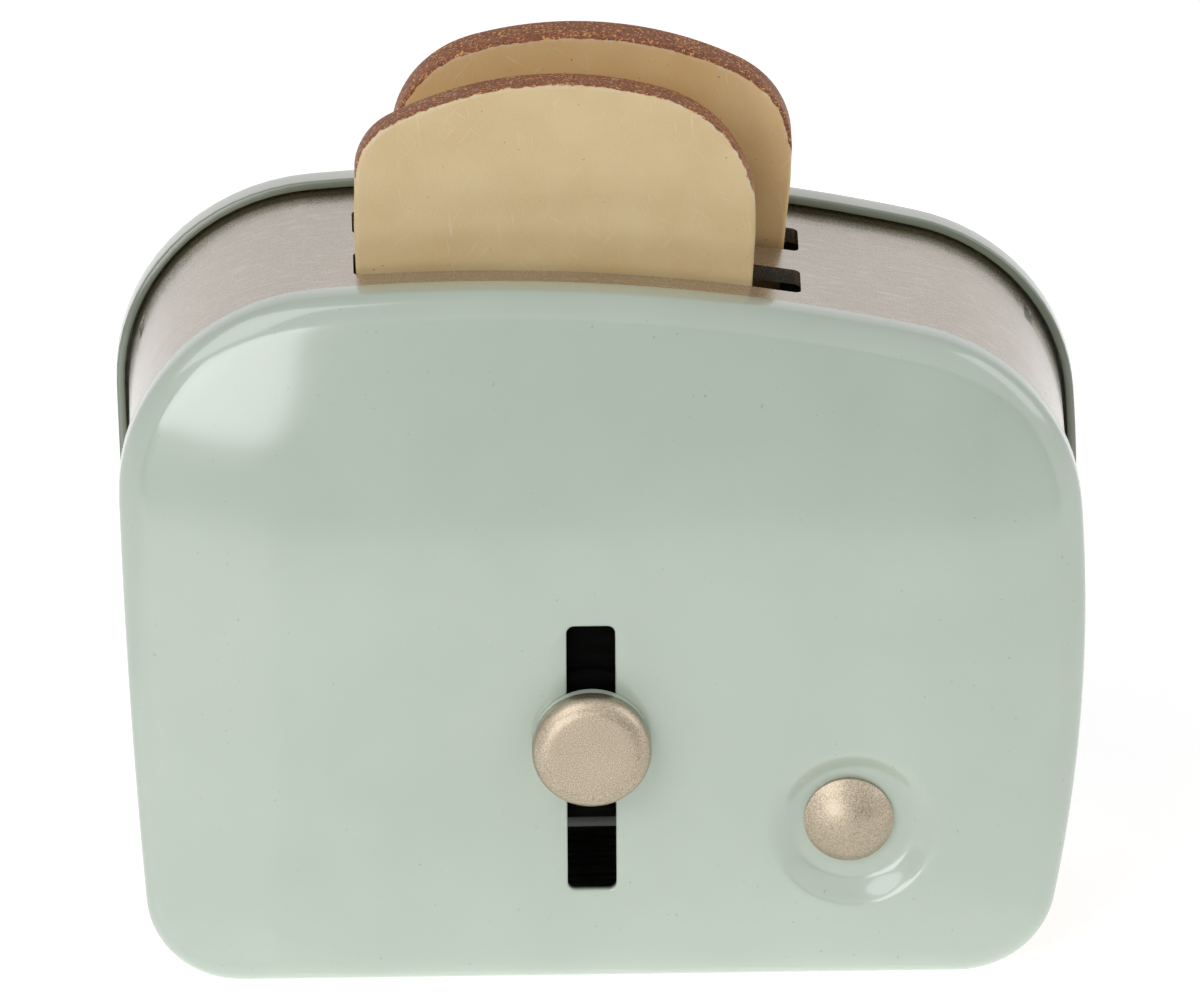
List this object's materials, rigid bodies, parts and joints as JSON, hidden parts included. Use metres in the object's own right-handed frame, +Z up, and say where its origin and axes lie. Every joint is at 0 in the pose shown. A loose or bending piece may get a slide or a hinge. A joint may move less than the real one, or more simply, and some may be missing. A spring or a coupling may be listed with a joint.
{
  "type": "toy toaster",
  "caption": "Miniature pressed-metal toaster toy: rounded case, friction lever that raises a tray with loose bread slices, fixed domed button.",
  "frame": {"origin": "on the floor plane, at the middle of the overall length and of the overall depth from the knob's face to the rear pan", "axes": "+X to the right of the front face, +Y from front to rear, +Z up"},
  "size_m": [0.0554, 0.0226, 0.0549],
  "materials": {
    "mint_enamel": "gloss enamel, pale mint",
    "champagne_enamel": "satin metallic paint, champagne brown",
    "knob_enamel": "satin metallic paint, pale champagne",
    "bare_steel": "plain zinc-grey sheet and wire",
    "dark_steel": "dull blackened sheet",
    "bread_resin": "waxy cast resin, beige",
    "crust_paint": "speckled brown paint on the edge of each slice"
  },
  "bodies": {
    "case": {"front_shell": "mint_enamel", "rear_shell": "mint_enamel", "case_band": "champagne_enamel", "base_plate": "bare_steel", "base_rivets": "bare_steel", "divider_bar": "bare_steel", "guide_rods": "bare_steel", "button_stud": "knob_enamel", "button_ring": "bare_steel"},
    "lever": {"lever_knob": "knob_enamel", "lever_washer": "mint_enamel", "lever_rivet": "bare_steel", "slide_block": "dark_steel", "spring_washer": "bare_steel", "carriage": "dark_steel", "bread_tray": "dark_steel", "tray_rivets": "bare_steel"},
    "front_bread": {"front_slice": "bread_resin"},
    "rear_bread": {"rear_slice": "bread_resin"}
  },
  "joints": [
    {"name": "lever_slide", "type": "slide", "parent": "case", "child": "lever", "axis": [0, 0, 1], "range_m": [-0.00725, 0.00514]},
    {"name": "front_slice_lift", "type": "slide", "parent": "lever", "child": "front_bread", "axis": [0.014, 0.0628, 0.9979], "range_m": [0, 0.015]},
    {"name": "rear_slice_lift", "type": "slide", "parent": "lever", "child": "rear_bread", "axis": [0.0454, -0.0627, 0.997], "range_m": [0, 0.015]}
  ]
}
